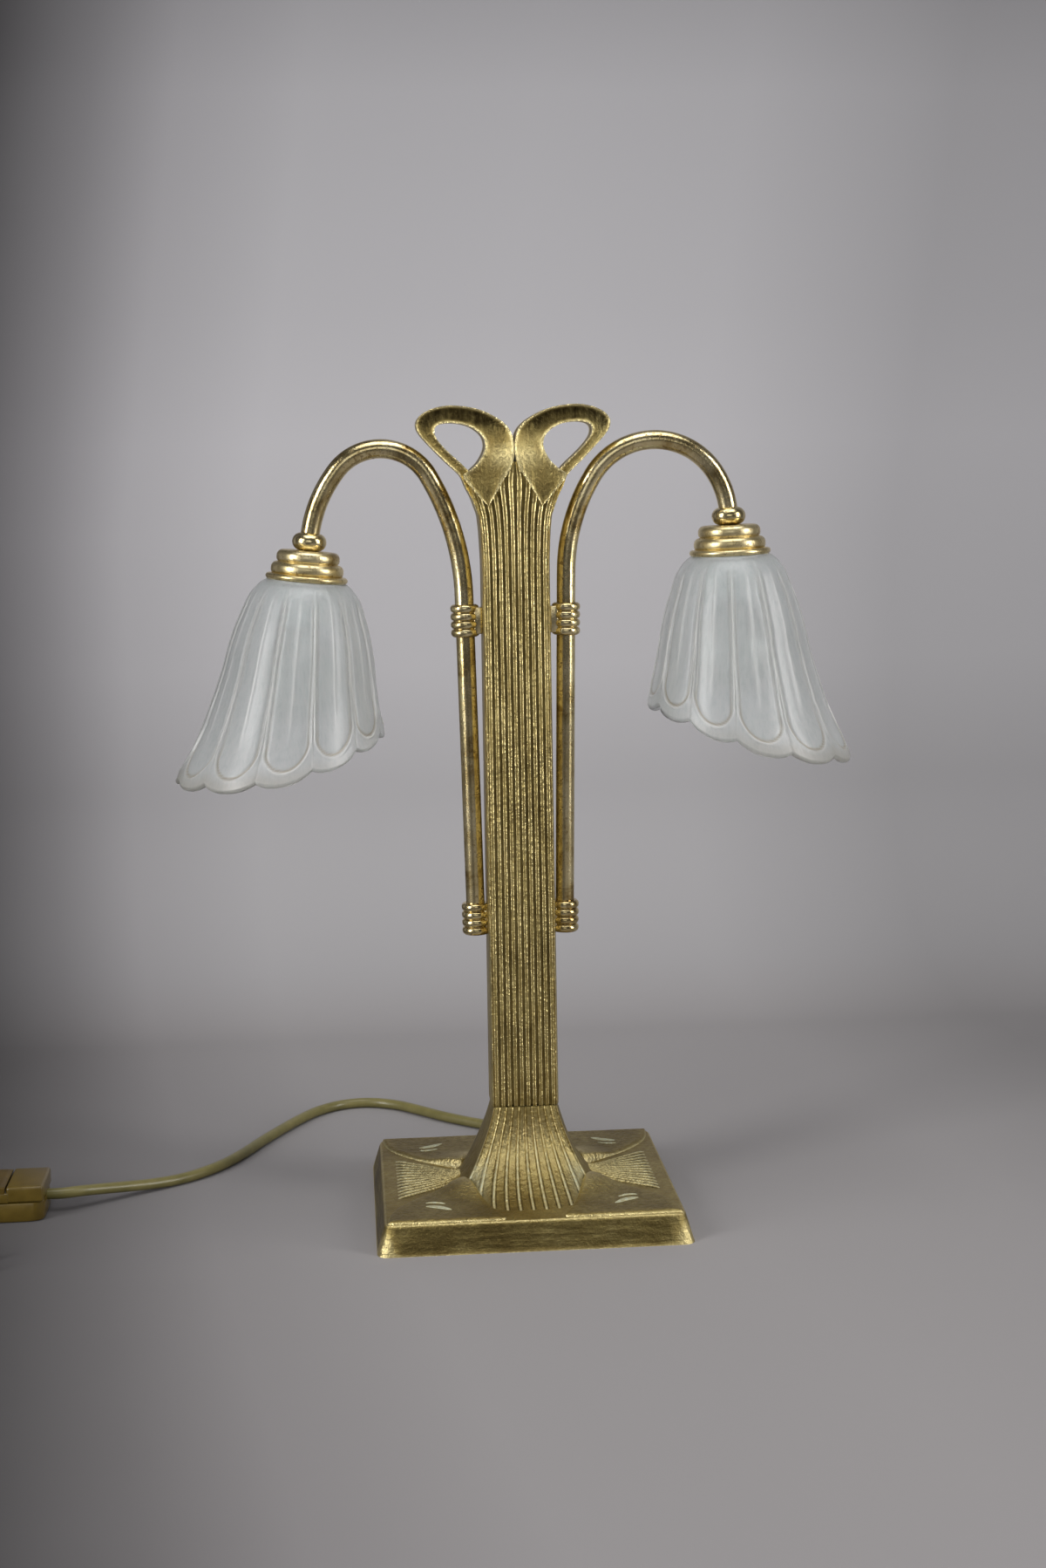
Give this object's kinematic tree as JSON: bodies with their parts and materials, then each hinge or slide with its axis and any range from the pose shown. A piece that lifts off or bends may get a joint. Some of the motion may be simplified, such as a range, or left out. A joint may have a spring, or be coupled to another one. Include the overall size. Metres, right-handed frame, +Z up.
{
  "type": "two-arm table lamp with tulip shades",
  "caption": "An antique brass table lamp with a fluted column, two curved arms, frosted glass tulip shades and an in-line cord switch.",
  "frame": {"origin": "centre of the underside of the foot, on the table", "axes": "+Z up along the column; -Y is the fluted front that the picture shows; the arms reach out along -X (left) and +X (right)"},
  "size_m": [0.6015, 0.278, 0.4317],
  "materials": {
    "aged_brass": "patinated, bright on worn edges",
    "polished_brass": "polished with light tarnish",
    "steel": "zinc plated",
    "plated_metal": "nickel plated",
    "white_plastic": "moulded thermoset",
    "frosted_glass": "acid-frosted pressed glass",
    "bulb_glass": "opal",
    "felt": "felt",
    "dark_rubber": "matt",
    "cord_sheath": "smooth flexible sheath",
    "gold_plastic": "moulded, gold coloured"
  },
  "bodies": {
    "lamp": {"foot": "aged_brass", "sole_plate": "steel", "sole_screws": "steel", "felt_pad": "felt", "column": "aged_brass", "tie_rod": "steel", "tie_washer": "steel", "tie_nut": "steel", "left_lower_collar": "polished_brass", "left_upper_collar": "polished_brass", "right_lower_collar": "polished_brass", "right_upper_collar": "polished_brass", "left_arm_tube": "polished_brass", "right_arm_tube": "polished_brass", "left_ball": "polished_brass", "right_ball": "polished_brass", "left_nipple": "polished_brass", "right_nipple": "polished_brass", "left_fitter": "polished_brass", "right_fitter": "polished_brass", "left_locknut": "steel", "right_locknut": "steel", "left_holder_cap": "white_plastic", "right_holder_cap": "white_plastic", "left_holder_skirt": "white_plastic", "right_holder_skirt": "white_plastic", "left_screw_shell": "polished_brass", "right_screw_shell": "polished_brass", "left_shade_ring": "white_plastic", "right_shade_ring": "white_plastic", "left_shade": "frosted_glass", "right_shade": "frosted_glass", "left_bulb_glass": "bulb_glass", "right_bulb_glass": "bulb_glass", "left_bulb_cap": "plated_metal", "right_bulb_cap": "plated_metal", "left_wire": "white_plastic", "right_wire": "white_plastic", "terminal_block": "white_plastic", "cord_bushing": "dark_rubber", "inner_cord": "cord_sheath", "lamp_cord": "cord_sheath", "switch_base": "gold_plastic", "switch_cover": "gold_plastic", "rocker_pin": "steel", "switch_screws": "steel", "cord_lead": "cord_sheath", "cord_coil": "cord_sheath", "cord_tail": "cord_sheath", "plug_body": "gold_plastic", "plug_pins": "plated_metal"},
    "rocker": {"switch_rocker": "gold_plastic"}
  },
  "joints": [
    {"name": "rocker_press", "type": "hinge", "parent": "lamp", "child": "rocker", "pos_m": [-0.293, 0.018, 0.0145], "axis": [0, -1, 0], "range_deg": [0, 14]}
  ]
}
